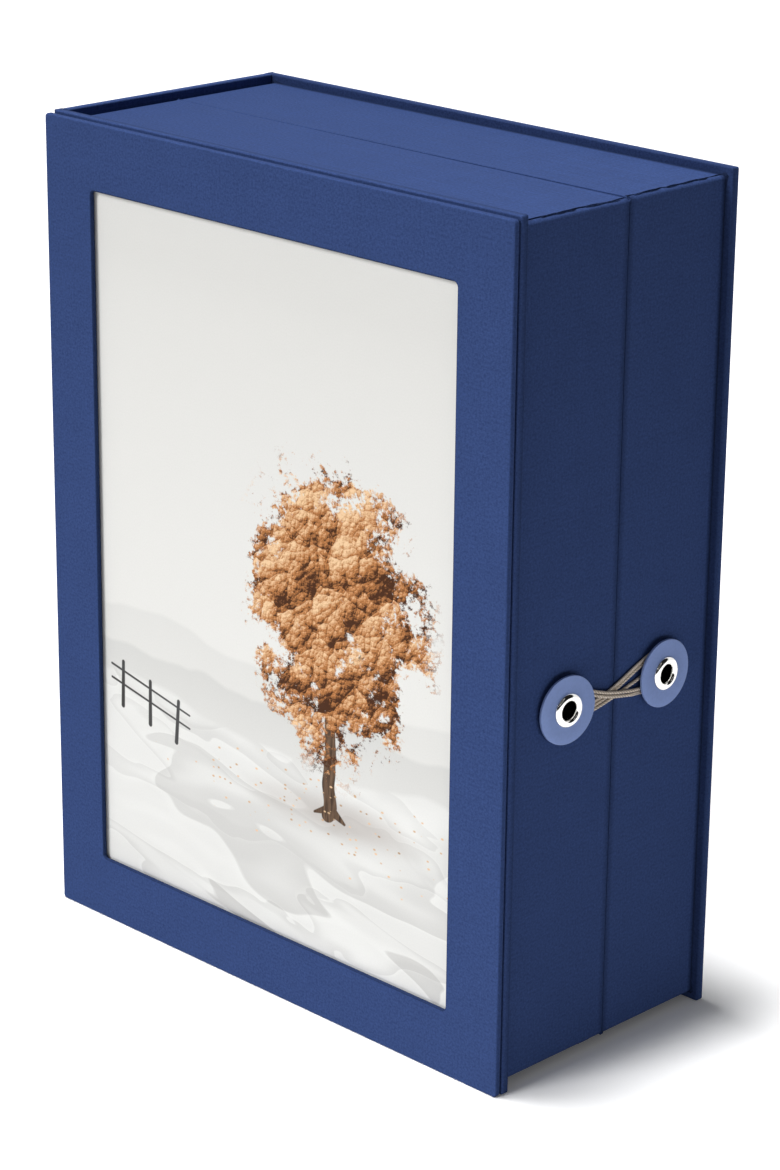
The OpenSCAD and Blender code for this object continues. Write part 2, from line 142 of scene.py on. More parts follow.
def roundEdges(bm, edges, radius, segments):
    bmesh.ops.bevel(bm, geom=edges, offset=radius, offset_type="OFFSET", segments=segments, profile=0.5,
                    affect="EDGES", clamp_overlap=True, material=-1)


def clamp(value):
    return min(1.0, max(0.0, value))


def facesAt(bm, axis, place):
    return [f for f in bm.faces if abs(f.calc_center_median()[axis] - place) < nearby]


def isCorner(edge):
    return len(edge.link_faces) == 2 and edge.calc_face_angle() > 1.2


def cutAcross(bm, place, normal):
    bmesh.ops.bisect_plane(bm, geom=bm.verts[:] + bm.edges[:] + bm.faces[:], plane_co=place, plane_no=normal)


def pushFaces(bm, faces, offset):
    # a copy of the faces, moved and joined on by walls: its vertices and its faces
    made = bmesh.ops.extrude_face_region(bm, geom=faces)["geom"]
    moved = [g for g in made if isinstance(g, bmesh.types.BMVert)]
    bmesh.ops.translate(bm, vec=offset, verts=moved)
    return moved, [g for g in made if isinstance(g, bmesh.types.BMFace)]


def clothUv(bm):
    # cloth lies flat on each face, so its threads run along the two axes that the face spans, in mm
    uvLayer = bm.loops.layers.uv.new("cloth")
    bm.normal_update()
    for face in bm.faces:
        n = face.normal
        axis = max(range(3), key=lambda i: abs(n[i]))
        u, v = [(1, 2), (0, 2), (0, 1)][axis]
        for loop in face.loops:
            co = loop.vert.co
            loop[uvLayer].uv = (co[u] * 1000, co[v] * 1000)


class Output:
    # what a node gives out, so that sums and products of them read as such
    def __init__(self, graph, socket):
        self.graph, self.socket = graph, socket

    def __add__(self, other):
        return self.graph.math("ADD", self, other)

    def __sub__(self, other):
        return self.graph.math("SUBTRACT", self, other)

    def __rsub__(self, other):
        return self.graph.math("SUBTRACT", other, self)

    def __mul__(self, other):
        return self.graph.math("MULTIPLY", self, other)

    def __truediv__(self, other):
        return self.graph.math("DIVIDE", self, other)


class Graph:
    # a thin wrapper so that a node tree reads as a list of steps
    def __init__(self, tree):
        self.tree = tree

    def put(self, socket, value):
        if isinstance(value, Output):
            self.tree.links.new(value.socket, socket)
        elif value is not None:
            socket.default_value = value

    def node(self, kind, inputs=None, **settings):
        # inputs are named, or numbered where names repeat
        node = self.tree.nodes.new("ShaderNode" + kind)
        for key, value in settings.items():
            setattr(node, key, value)
        for key, value in (inputs or {}).items():
            self.put(node.inputs[key], value)
        return node

    def add(self, kind, output, inputs=None, **settings):
        return Output(self, self.node(kind, inputs, **settings).outputs[output])

    def uv(self, layer):
        return self.add("UVMap", "UV", uv_map=layer)

    def objectCoords(self):
        return self.add("TexCoord", "Object")

    def attribute(self, layer):
        return self.add("Attribute", "Fac", attribute_name=layer)

    def mapping(self, vector, scale, location=(0, 0, 0)):
        each = scale if isinstance(scale, tuple) else (scale, scale, scale)
        return self.add("Mapping", "Vector", {"Vector": vector, "Scale": each, "Location": location})

    def split(self, vector):
        node = self.node("SeparateXYZ", {"Vector": vector})
        return [Output(self, socket) for socket in node.outputs]

    def join(self, x=0.0, y=0.0, z=0.0):
        return self.add("CombineXYZ", "Vector", {"X": x, "Y": y, "Z": z})

    def noise(self, vector, detail=2.0, roughness=0.5, distortion=0.0):
        return self.add("TexNoise", "Fac", {"Vector": vector, "Scale": 1.0, "Detail": detail,
                                            "Roughness": roughness, "Distortion": distortion})

    def voronoi(self, vector):
        node = self.node("TexVoronoi", {"Vector": vector, "Scale": 1.0})
        return [Output(self, node.outputs[name]) for name in ("Distance", "Color", "Position")]

    def math(self, how, *values, clamp=False):
        return self.add("Math", "Value", dict(enumerate(values)), operation=how, use_clamp=clamp)

    def length(self, x, y):
        return self.math("SQRT", x * x + y * y)

    def spread(self, value, fromLow, fromHigh, toLow=0.0, toHigh=1.0, smooth=False):
        return self.add("MapRange", "Result", {"Value": value, "From Min": fromLow, "From Max": fromHigh,
                                               "To Min": toLow, "To Max": toHigh},
                        interpolation_type="SMOOTHSTEP" if smooth else "LINEAR")

    def vary(self, noise, low, high):
        # noise seldom leaves 0.3 to 0.7
        return self.spread(noise, 0.3, 0.7, low, high)

    def mix(self, share, a, b, blend="MIX"):
        return self.add("Mix", 2, {0: share, 6: a, 7: b}, data_type="RGBA", blend_type=blend)

    def shaded(self, colour, tone):
        return self.mix(1.0, colour, self.join(tone, tone, tone), "MULTIPLY")

    def ramp(self, value, *stops):
        node = self.node("ValToRGB", {"Fac": value})
        elements = node.color_ramp.elements
        while len(elements) < len(stops):
            elements.new(0.5)
        for element, (position, colour) in zip(elements, stops):
            element.position = position
            element.color = colour
        return Output(self, node.outputs["Color"])

    def bump(self, height, distance, strength=1.0, normal=None):
        return self.add("Bump", "Normal", {"Height": height, "Distance": distance, "Strength": strength,
                                           "Normal": normal})


class Nodes(Graph):
    # a new material with one shader
    def __init__(self, name):
        self.material = bpy.data.materials.new(name)
        self.material.use_nodes = True
        super().__init__(self.material.node_tree)

    def finish(self, colour, roughness, normal=None, **constants):
        shader = self.tree.nodes["Principled BSDF"]
        inputs = {"Base_Color": colour, "Roughness": roughness, "Normal": normal, **constants}
        for key, value in inputs.items():
            self.put(shader.inputs[key.replace("_", " ")], value)
        return self.material


def grey(value):
    return (value, value, value, 1)


clothLook = {
    "colour": (0.0394, 0.0697, 0.1955, 1),
    "thread": 0.36,  # mm between threads
    "threadShade": 0.16,  # how much darker the gaps between threads are
    "slubShade": 0.05,  # how far single threads differ
    "mottleShade": 0.035,  # broad unevenness of the dye
    "fleckShade": 0.20,  # small flecks where the weave is looser
    "paintedShadeDepth": 0.72,  # how dark the painted shade is at the foot of the trays, along their seam and on shaded rims
    "edgeLight": 0.18,  # how much lighter the rounded edges are painted, a painted highlight
    "bump": 0.00003, "cockle": 0.0012,
    "roughness": 0.78,
}


def makeBookCloth():
    n = Nodes("bookCloth")
    look = clothLook
    uv = n.uv("cloth")
    wander = n.noise(n.mapping(uv, 0.9), 2)
    u, v, _ = n.split(uv)
    u, v = wander * 0.35 + u, wander * -0.3 + v
    pitch = pi / look["thread"]
    acrossU, acrossV = (n.math("ABSOLUTE", n.math("SINE", way * pitch)) for way in (u, v))
    over = n.spread(n.math("COSINE", u * pitch) * n.math("COSINE", v * pitch), -0.5, 0.5)
    weave = acrossU * over + acrossV * (1.0 - over)
    warpCount, weftCount = (way * (1 / look["thread"]) for way in (u, v))
    # each thread is thicker here and thinner there, out of step with its neighbours
    slubWarp = n.noise(n.join(warpCount, v * 0.06 + warpCount * 0.618, 0.0), 1)
    slubWeft = n.noise(n.join(u * 0.05 + weftCount * 0.618, weftCount, 7.3), 1)
    slub = slubWarp + slubWeft
    mottle = n.noise(n.mapping(uv, 0.09), 4, 0.65)
    shade = n.spread(weave, 0.15, 0.95, 1 - look["threadShade"], 1.0)
    shade = shade * n.spread(slub, 0.7, 1.3, 1 - look["slubShade"], 1 + look["slubShade"])
    shade = shade * n.vary(mottle, 1 - look["mottleShade"], 1 + look["mottleShade"])
    fleck = n.noise(n.mapping(uv, 1.7, (4, 8, 1)), 2, 0.6)
    shade = shade * n.vary(fleck, 1 - look["fleckShade"], 1 + look["fleckShade"])
    # painted highlight along the rounded edges
    edgeHighlight = n.attribute("paintedEdgeLight") * n.spread(slub, 0.8, 1.15)
    shade = shade + edgeHighlight * look["edgeLight"]
    # painted shade on the marked places: the foot of the trays, their seam and rims in shadow
    shade = shade * n.spread(n.attribute("paintedShade"), 0.0, 1.0, 1.0, 1 - look["paintedShadeDepth"])
    colour = n.shaded(look["colour"], shade)
    normal = n.bump(slub * 0.4 + weave, look["bump"], 0.55)
    soft = n.noise(n.mapping(uv, 0.035, (9, 2, 4)), 2)
    normal = n.bump(soft, look["cockle"], 0.25, normal)
    rough = n.spread(slub, 0.7, 1.3, look["roughness"] - 0.05, look["roughness"] + 0.06)
    return n.finish(colour, rough, normal, Specular_IOR_Level=0.04)


def makeRawEdgeAndGapShade():
    # the cut edge of the cloth, seen in the gap beside a corner flap: its own dark colour, made near-black as
    # painted shade of the deep gap
    n = Nodes("rawEdgeAndGapShade")
    fray = n.noise(n.mapping(n.objectCoords(), 1500), 3, 0.7)
    colour = n.ramp(fray, (0.35, (0.013, 0.021, 0.054, 1)), (0.75, (0.042, 0.069, 0.18, 1)))
    return n.finish(colour, 0.95, Specular_IOR_Level=0.05)


boardLook = {"colour": (0.27, 0.25, 0.21, 1), "roughness": 0.9}


def makeGreyBoard():
    n = Nodes("greyBoard")
    at = n.objectCoords()
    fibres = n.noise(n.mapping(at, (260, 900, 260)), 4, 0.7)
    specks = n.noise(n.mapping(at, 1400), 2)
    shade = n.vary(fibres, 0.82, 1.08) + n.spread(specks, 0.62, 0.72, 0.0, -0.25)
    colour = n.shaded(boardLook["colour"], shade)
    return n.finish(colour, boardLook["roughness"], n.bump(fibres, 0.00005, 0.6), Specular_IOR_Level=0.2)


liningLook = {
    "colour": (0.74, 0.71, 0.65, 1), "roughness": 0.85, "shine": 0.25,
    "fibres": (500, 5, 0.7, 0.4), "fibreShade": (0.95, 1.03), "clouds": (45, 3), "cloudShade": (0.97, 1.02),
}
discLook = {
    "colour": (0.241, 0.328, 0.625, 1), "roughness": 0.75, "shine": 0.15, "highlight": 0.18,
    "fibres": (1500, 4, 0.65), "fibreShade": (0.95, 1.04), "clouds": (160, 2), "cloudShade": (0.97, 1.03),
}


def makeCard(name, look):
    n = Nodes(name)
    at = n.objectCoords()
    layers = (look["fibres"], look["clouds"])
    fibres, clouds = (n.noise(n.mapping(at, scale), *kind) for scale, *kind in layers)
    shade = n.vary(fibres, *look["fibreShade"]) * n.vary(clouds, *look["cloudShade"])
    # painted highlight along the card's rim
    if "highlight" in look:
        shade = n.attribute("paintedEdgeLight") * look["highlight"] + shade
    return n.finish(n.shaded(look["colour"], shade), look["roughness"], n.bump(fibres, 0.00002, 0.5),
                    Specular_IOR_Level=look["shine"])


nickelLook = {"colour": (0.87, 0.86, 0.835, 1), "roughness": 0.05}


def makeNickel():
    n = Nodes("brightNickel")
    at = n.objectCoords()
    scuffs = n.noise(n.mapping(at, (900, 2600, 2600)), 3, 0.6)
    dull = n.noise(n.mapping(at, 300), 2)
    rough = n.vary(dull, nickelLook["roughness"] - 0.02, nickelLook["roughness"] + 0.04)
    colour = n.mix(n.spread(scuffs, 0.55, 0.75, 0.0, 0.2), nickelLook["colour"], grey(0.78))
    return n.finish(colour, rough, n.bump(scuffs, 0.000008, 0.25), Metallic=1.0)


# the dark tone is painted shade down in the grooves between the plies
stringLook = {"light": (0.78, 0.68, 0.58, 1), "dark": (0.27, 0.21, 0.15, 1), "roughness": 0.5}


def makeWaxedLinen():
    n = Nodes("waxedLinen")
    at = n.objectCoords()
    fuzz = n.noise(n.mapping(at, 4200), 3, 0.7)
    flecks = n.noise(n.mapping(at, 700), 2)
    # painted shade down in the grooves between plies
    groove = n.attribute("groove")
    share = n.math("ADD", n.vary(fuzz, -0.12, 0.12), n.spread(groove, 0.0, 1.0, 0.05, 0.95), clamp=True)
    share = n.math("ADD", share, n.vary(flecks, -0.12, 0.12), clamp=True)
    colour = n.mix(share, stringLook["dark"], stringLook["light"])
    return n.finish(colour, stringLook["roughness"], n.bump(fuzz, 0.00003, 0.6), Specular_IOR_Level=0.4,
                    Sheen_Weight=0.1)


bookCloth = makeBookCloth()
rawEdgeAndGapShade = makeRawEdgeAndGapShade()
greyBoard = makeGreyBoard()
liningPaper = makeCard("liningPaper", liningLook)
discCard = makeCard("discCard", discLook)
brightNickel = makeNickel()
waxedLinen = makeWaxedLinen()
print("materials made")


printLook = {
    "sky": (0.765, 0.76, 0.735, 1), "haze": (0.80, 0.795, 0.77, 1), "hill": (0.60, 0.60, 0.585, 1),
    "snow": (0.83, 0.83, 0.81, 1), "snowShade": (0.58, 0.575, 0.56, 1),
    "leafDark": (0.060, 0.020, 0.007, 1), "leaf": (0.50, 0.205, 0.070, 1), "leafLight": (0.86, 0.60, 0.36, 1),
    "bark": (0.020, 0.011, 0.007, 1), "fence": (0.085, 0.088, 0.092, 1), "paper": (0.86, 0.85, 0.82, 1),
    "treeFoot": (0.465, 0.235), "crown": (0.475, 0.50), "crownSize": (0.150, 0.185), "aspect": 0.714,
    "roughness": 0.5,
}


def limb(n, x, y, start, end, wide, narrow):
    # 1 inside a tapering branch from start to end, 0 outside
    dx, dy = end[0] - start[0], end[1] - start[1]
    px, py = x - start[0], y - start[1]
    t = n.math("DIVIDE", px * dx + py * dy, dx * dx + dy * dy, clamp=True)
    away = n.length(t * -dx + px, t * -dy + py)
    return n.spread(n.spread(t, 0, 1, wide, narrow) - away, -0.0006, 0.0006)


def limbs(n, x, y, *shapes):
    parts = [limb(n, x, y, *shape) for shape in shapes]
    whole = parts[0]
    for part in parts[1:]:
        whole = n.math("MAXIMUM", whole, part)
    return whole


def relief(n, x, y, scale, step, strength, detail=3, roughness=0.5):
    # noise lit from the upper left: bright where it rises that way, dark where it falls
    here = n.noise(n.join(x * scale[0], y * scale[1]), detail, roughness)
    there = n.noise(n.join((x - step) * scale[0], (y + step) * scale[1]), detail, roughness)
    return n.math("MULTIPLY_ADD", here - there, strength, 0.5, clamp=True)


def makePrintScene():
    n = Nodes("printedScene")
    look = printLook
    across, y, _ = n.split(n.uv("print"))
    x = across * look["aspect"]
    at = n.join(x, y)
    # sky and two hazy ridges
    cloud = n.noise(n.mapping(at, (1.6, 3.2, 1)), 3)
    picture = n.mix(n.spread(y, 0.40, 0.95, smooth=True), look["haze"], look["sky"])
    picture = n.mix(n.spread(cloud, 0.35, 0.75, 0.0, 0.22), picture, look["haze"])
    for level, swing, scale, share in ((0.395, 0.05, 3.1, 0.30), (0.352, 0.045, 5.2, 0.55)):
        ridge = n.noise(n.join(x * scale, level * 20), 3, 0.45)
        depth = ridge * (swing * 2) + (level - swing) - y
        inside = n.spread(depth, -0.003, 0.003) * n.spread(depth, 0.0, 0.12, share, share * 0.25)
        picture = n.mix(inside, picture, look["hill"])
    # wind-carved snow: each drift has a sharp crest with its shaded side below it
    snowTop = n.noise(n.join(x * 3.4, 7.7), 2) * 0.1 + 0.245
    lump = n.noise(n.mapping(at, (3.2, 7.5, 1)), 3, 0.45, 0.7)
    shade = n.spread(lump, 0.35, 0.65, 0.30, 0.0, smooth=True)
    for scale, offset, reach, depth in (((2.6, 7.2), 3.0, 0.16, 0.62), ((5.5, 13.0), 8.0, 0.12, 0.38)):
        drift = n.noise(n.join((x + y) * scale[0] + offset, y * scale[1]), 2, 0.35, 0.9)
        side = 0.5 - drift
        under = n.spread(side, -0.002, 0.004) * n.spread(side, 0.0, reach, depth, 0.0, smooth=True)
        lit = n.spread(side, -0.03, -0.002, 0.0, 1.0) * n.spread(side, -0.002, 0.0, 0.14, 0.0)
        shade = n.math("SUBTRACT", shade + under, lit, clamp=True)
    shade = shade * n.spread(y, 0.0, 0.26, 1.0, 0.6)
    snow = n.mix(shade, look["snow"], look["snowShade"])
    picture = n.mix(n.spread(snowTop - y, -0.004, 0.004), picture, snow)
    # soft shadow of the tree on the snow
    foot = look["treeFoot"]
    spot = n.length((x - (foot[0] + 0.035)) / 0.17, (y - (foot[1] - 0.012)) / 0.034)
    spot = spot + n.vary(lump, -0.3, 0.3)
    picture = n.mix(n.spread(spot, 0.2, 1.15, 0.5, 0.0, smooth=True), picture, (0.42, 0.37, 0.34, 1))
    # trunk and boughs
    bend = n.noise(n.join(0.0, y * 9), 2)
    bx = x + n.vary(bend, -0.008, 0.008)
    wood = limbs(n, bx, y,
                 ((0.465, 0.225), (0.470, 0.43), 0.0125, 0.0075),
                 ((0.469, 0.36), (0.400, 0.49), 0.0062, 0.0024),
                 ((0.470, 0.38), (0.548, 0.50), 0.0062, 0.0022),
                 ((0.470, 0.42), (0.452, 0.58), 0.0066, 0.0020),
                 ((0.470, 0.43), (0.505, 0.61), 0.0058, 0.0018),
                 ((0.465, 0.233), (0.440, 0.221), 0.0085, 0.0020),
                 ((0.465, 0.233), (0.496, 0.219), 0.0085, 0.0020))
    bark = relief(n, x, y, (150, 30), 0.002, 1.8)
    picture = n.mix(wood, picture, n.mix(bark, look["bark"], (0.20, 0.125, 0.08, 1)))
    # crown: clumps of leaves lit from the upper left
    cx = (x - look["crown"][0]) / look["crownSize"][0]
    cy = (y - look["crown"][1]) / look["crownSize"][1]
    reach = n.length(cx, cy)
    clump = n.noise(n.mapping(at, 13), 2, 0.5, 0.6)
    leafEdge = n.noise(n.mapping(at, 95), 4, 0.75)
    edge = reach + (n.vary(clump, -0.3, 0.3) + n.vary(leafEdge, -0.22, 0.22))
    crown = n.spread(edge, 0.90, 1.0, 1.0, 0.0)
    holes = clump + leafEdge * 0.6
    crown = crown * n.spread(holes, 0.56, 0.63)
    wavy = n.noise(n.mapping(at, 24), 2)
    light = n.spread(cy - cx, -1.4, 1.4, -0.1, 0.1)
    for scale, share in ((15, 0.34), (42, 0.30), (120, 0.26)):
        massX, massY = x * scale + wavy, y * scale + wavy
        distance, _, position = n.voronoi(n.join(massX, massY))
        px, py, _ = n.split(position)
        away = massY - py - (massX - px) * 0.7
        lit = n.spread(away, -0.6, 0.6) - n.spread(distance, 0.4, 0.75, 0.0, 0.35)
        light = lit * share + light
    leafTone = relief(n, x, y, (210, 210), 0.0013, 2.4, 2, 0.7)
    light = leafTone * 0.26 + light
    leaves = n.ramp(light, (0.16, look["leafDark"]), (0.46, look["leaf"]), (0.78, look["leafLight"]))
    picture = n.mix(crown, picture, leaves)
    # fallen leaves round the foot, and a fence to the left
    distance, cellColour, _ = n.voronoi(n.mapping(at, (85, 150, 1)))
    cellTone = n.split(cellColour)[0]
    fallen = n.math("GREATER_THAN", cellTone, n.spread(spot, 0.3, 2.2, 0.35, 1.0))
    litter = n.spread(distance, 0.16, 0.26, 1.0, 0.0) * fallen
    picture = n.mix(litter, picture, n.mix(cellTone, look["leafDark"], look["leafLight"]))
    posts = limbs(n, x, y, *((start, end, wide, wide * 0.85) for start, end, wide in (
        ((0.062, 0.262), (0.064, 0.326), 0.0036), ((0.118, 0.250), (0.119, 0.312), 0.0036),
        ((0.171, 0.239), (0.176, 0.299), 0.0036), ((0.040, 0.318), (0.198, 0.285), 0.0017),
        ((0.040, 0.298), (0.198, 0.266), 0.0017))))
    picture = n.mix(posts, picture, n.mix(n.vary(lump, 0.0, 1.0), look["fence"], look["bark"]))
    grain = n.noise(n.mapping(at, 420), 1)
    picture = n.shaded(picture, n.vary(grain, 0.985, 1.01))
    return n.finish(picture, look["roughness"], Specular_IOR_Level=0.08)


def makePrintPaper():
    n = Nodes("printPaper")
    fibres = n.noise(n.mapping(n.objectCoords(), 700), 4, 0.6)
    tone = n.vary(fibres, 0.97, 1.02)
    return n.finish(n.shaded(printLook["paper"], tone), 0.6, n.bump(fibres, 0.00001, 0.4),
                    Specular_IOR_Level=0.3)


def buildPrint():
    low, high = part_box("photo_print")
    bm = boxMesh(low, high)
    uvLayer = bm.loops.layers.uv.new("print")
    bm.normal_update()
    for face in bm.faces:
        face.material_index = 0 if face.normal.y < -0.9 else 1
        for loop in face.loops:
            co = loop.vert.co
            loop[uvLayer].uv = ((co.x - low.x) / (high.x - low.x), (co.z - low.z) / (high.z - low.z))
    finishPiece("printCard", bm, makePrintScene(), "print", ["photo_print"],
                extraMaterials=[makePrintPaper()])


windowSizes = {
    "border": 0.016, "outerCorner": 0.0009, "windowCorner": 0.0011, "edge": 0.0004, "windowEdge": 0.00045,
    "undercut": 0.0005, "segments": 4, "cornerSegments": 5,
    "rimShade": 0.7,  # how dark the painted shade on the window's rim is
}


def markEdgeHighlight(bm):
    # 1 on the rounded edges, 0 on the flats, for the painted highlight along the edges
    layer = bm.verts.layers.float.new("paintedEdgeLight")
    bm.normal_update()
    for vert in bm.verts:
        straight = max(abs(c) for c in vert.normal)
        vert[layer] = clamp((1 - straight) * 4)


def shadeRim(bm, isRim, share):
    # paints shade on a rim that lies in shadow, and takes the painted edge highlight off it
    paintedShade, highlight = bm.verts.layers.float.new("paintedShade"), bm.verts.layers.float["paintedEdgeLight"]
    for vert in bm.verts:
        if isRim(vert):
            vert[paintedShade], vert[highlight] = share, 0.0


def buildWindowFrame():
    size = windowSizes
    low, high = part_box("window_cloth")
    bm = bmesh.new()
    bmesh.ops.create_grid(bm, x_segments=1, y_segments=1, size=0.5)
    bmesh.ops.scale(bm, vec=(high.x - low.x, high.z - low.z, 1), verts=bm.verts)
    bmesh.ops.rotate(bm, cent=(0, 0, 0), matrix=Matrix.Rotation(radians(90), 3, "X"), verts=bm.verts)
    bmesh.ops.translate(bm, vec=((low.x + high.x) / 2, low.y, (low.z + high.z) / 2), verts=bm.verts)
    opening = bm.faces[:]
    bmesh.ops.inset_region(bm, faces=opening, thickness=size["border"], use_even_offset=True,
                           use_boundary=True)
    bmesh.ops.delete(bm, geom=opening, context="FACES")
    pushFaces(bm, bm.faces[:], (0, high.y - low.y, 0))
    bmesh.ops.recalc_face_normals(bm, faces=bm.faces)
    middle = (low + high) / 2
    reachX, reachZ = (high.x - low.x) / 2 - size["border"] / 2, (high.z - low.z) / 2 - size["border"] / 2

    def atWindow(vert):
        return abs(vert.co.x - middle.x) < reachX and abs(vert.co.z - middle.z) < reachZ

    corners = edgesAlong(bm, 1)
    inner = [e for e in corners if atWindow(e.verts[0])]
    outer = [e for e in corners if e not in inner]
    roundEdges(bm, outer, size["outerCorner"], size["cornerSegments"])
    roundEdges(bm, inner, size["windowCorner"], size["cornerSegments"])
    rims = [e for e in bm.edges if isCorner(e)]
    windowRims = [e for e in rims if atWindow(e.verts[0]) and e.verts[0].co.y < middle.y]
    # the board's window is cut at a slant, so the cloth falls back from its front rim
    for vert in bm.verts:
        if atWindow(vert) and vert.co.y > middle.y:
            vert.co.x += copysign(size["undercut"], vert.co.x - middle.x)
            vert.co.z += copysign(size["undercut"], vert.co.z - middle.z)
    roundEdges(bm, windowRims, size["windowEdge"], size["segments"])
    roundEdges(bm, [e for e in rims if e.is_valid and e not in windowRims], size["edge"], size["segments"])
    markEdgeHighlight(bm)
    # painted shade on the window's rims
    shadeRim(bm, lambda vert: atWindow(vert) and abs(vert.normal.y) < 0.98, size["rimShade"])
    clothUv(bm)
    finishPiece("windowFrame", bm, bookCloth, "front", ["window_cloth"], even=True)


caseSizes = {
    "edge": 0.0004, "corner": 0.0005, "segments": 4, "cornerSegments": 5,
    "hingeEdge": 0.00028, "hingeParts": 6,
    "innerShade": 0.42,  # how dark the painted shade on the inner rim of a cover is
}


def buildPanel(name, node, body, alsoReplaces=()):
    # a cloth-wrapped board: rounded everywhere but at the ends where the cloth runs on
    size = caseSizes
    low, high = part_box(node)
    bm = boxMesh(low, high)
    if name == "spinePanel":
        roundEdges(bm, edgesAlong(bm, 1), size["edge"], size["segments"])
    else:
        fore = [e for e in edgesAlong(bm, 1) if e.verts[0].co.x > high.x - nearby]
        roundEdges(bm, fore, size["corner"], size["cornerSegments"])
        rims = [e for e in bm.edges if isCorner(e) and not all(v.co.x < low.x + nearby for v in e.verts)]
        roundEdges(bm, rims, size["edge"], size["segments"])
    markEdgeHighlight(bm)
    # painted shade on the cover's inner rim beside the tray
    if name != "spinePanel":
        innerY = high.y if name == "frontCover" else low.y
        shadeRim(bm, lambda vert: abs(vert.co.y - innerY) < size["edge"] * 1.05, size["innerShade"])
    clothUv(bm)
    finishPiece(name, bm, bookCloth, body, [node, *alsoReplaces], even=True)


def buildJoint(name, node, bodyAtSpine, bodyAtCover, outward):
    # the strip of cloth over a cover's hinge edge, with a row of cuts so that it can bend
    size = caseSizes
    low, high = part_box(node)
    bm = boxMesh(low, high)
    for i in range(1, size["hingeParts"]):
        cutAcross(bm, (0, low.y + (high.y - low.y) * i / size["hingeParts"], 0), (0, 1, 0))
    coverY = low.y if outward < 0 else high.y
    outer = [e for e in edgesAlong(bm, 2)
             if abs(e.verts[0].co.y - coverY) < nearby and e.verts[0].co.x < low.x + nearby]
    roundEdges(bm, outer, size["hingeEdge"], size["segments"])
    markEdgeHighlight(bm)
    clothUv(bm)
    piece = finishPiece(name, bm, bookCloth, None, [node])
    spineY = high.y if outward < 0 else low.y
    middle = (low.z + high.z) / 2
    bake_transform(piece, bodyAtSpine, bodyAtCover, (low.x, spineY, middle), (low.x, coverY, middle))


traySizes = {
    "corner": 0.0010,  # rounding of the four corners that run from the base to the rim
    "rim": 0.00028, "base": 0.0009,
    "seamShade": 0.5,  # how dark the painted shade is on the fore edge where the two trays meet
    "wall": 0.0022, "turnIn": 0.010, "baseTurnIn": 0.015, "clothThickness": 0.00035,
    "flapFromEdge": 0.0010, "flapGap": 0.0008, "flapDepth": 0.0006, "flapSteps": 19, "flapFray": 0.00042,
    "flapEnd": 0.002,  # how far from its ends the flap's edge is straight
    "headRise": {"frontTrayCloth": 0.0003, "backTrayCloth": 0.0},  # the front one climbs to the spine
    "eyeletHole": 0.00235, "holeSides": 48, "segments": 4, "cornerSegments": 6,
    "climbStart": 0.012,  # the part of the walls below the head that climbs with it
}


def cutFlapLine(bm, low, high, seed):
    # the cloth of the head wall stops short of the fore edge, where the corner flap leaves a ragged gap
    size = traySizes
    near, far = high.x - size["flapFromEdge"], high.x - size["flapFromEdge"] - size["flapGap"]
    cuts = [((x, 0, 0), (1, 0, 0)) for x in (near, far)]
    steps = size["flapSteps"]
    cuts += [((0, low.y + (high.y - low.y) * i / steps, 0), (0, 1, 0)) for i in range(1, steps)]
    for place, normal in cuts:
        cutAcross(bm, place, normal)
    bm.normal_update()
    groove = [f for f in bm.faces if f.normal.z > 0.9 and f.calc_center_median().z > high.z - 0.001
              and abs(f.calc_center_median().x - (near + far) / 2) < size["flapGap"] / 2]
    moved, _ = pushFaces(bm, groove, (0, 0, -size["flapDepth"]))
    bmesh.ops.delete(bm, geom=[f for f in groove if f.is_valid], context="FACES")
    # the groove takes the near-black raw-edge colour, painted shade of the gap
    for face in {f for v in moved for f in v.link_faces}:
        face.material_index = 1
    ragged = random.Random(seed)
    lips = {v for m in moved for e in m.link_edges for v in e.verts} - set(moved)
    for vert in sorted(lips, key=lambda v: tuple(v.co)):
        if low.y + size["flapEnd"] < vert.co.y < high.y - size["flapEnd"]:
            vert.co.x += ragged.uniform(-0.5, 0.5) * size["flapFray"]
            vert.co.z += ragged.uniform(-0.2, 0.3) * size["flapFray"]


def markPaintedShade(bm, baseY, rimY, foreX):
    # 1 where the wall turns under the base, for painted shade at the foot of the tray beside the cover, less
    # along the seam
    size = traySizes
    layer = bm.verts.layers.float.new("paintedShade")
    for vert in bm.verts:
        if abs(vert.co.y - baseY) < size["base"] * 0.85:
            vert[layer] = 1.0
        elif abs(vert.co.y - rimY) < size["rim"] * 0.9 and vert.co.x > foreX - size["corner"]:
            vert[layer] = size["seamShade"]


def cutHole(bm, wallX, y, z, radius):
    # a round hole for an eyelet: a square is cut out of the fore-edge wall and filled again up to a ring
    reach = radius * 1.5
    for axis, place in ((1, y - reach), (1, y + reach), (2, z - reach), (2, z + reach)):
        wall = [f for f in facesAt(bm, 0, wallX) if f.normal.x > 0.99]
        parts = wall + list({e for f in wall for e in f.edges}) + list({v for f in wall for v in f.verts})
        centre, normal = Vector((0, 0, 0)), Vector((0, 0, 0))
        centre[axis], normal[axis] = place, 1
        bmesh.ops.bisect_plane(bm, geom=parts, plane_co=centre, plane_no=normal)
        bm.normal_update()
    middle = Vector((wallX, y, z))
    square = min(bm.faces, key=lambda f: (f.calc_center_median() - middle).length)
    rim = list(square.edges)
    bmesh.ops.delete(bm, geom=[square], context="FACES_ONLY")
    ring = bmesh.ops.create_circle(bm, segments=traySizes["holeSides"], radius=radius,
                                   matrix=Matrix.Translation(middle) @ Matrix.Rotation(pi / 2, 4, "Y"))
    rim += list({e for v in ring["verts"] for e in v.link_edges})
    made = bmesh.ops.triangle_fill(bm, edges=rim, use_beauty=True, normal=(1, 0, 0))
    for face in made["geom"]:
        if isinstance(face, bmesh.types.BMFace):
            face.normal_update()
            if face.normal.x < 0:
                face.normal_flip()
    bm.normal_update()


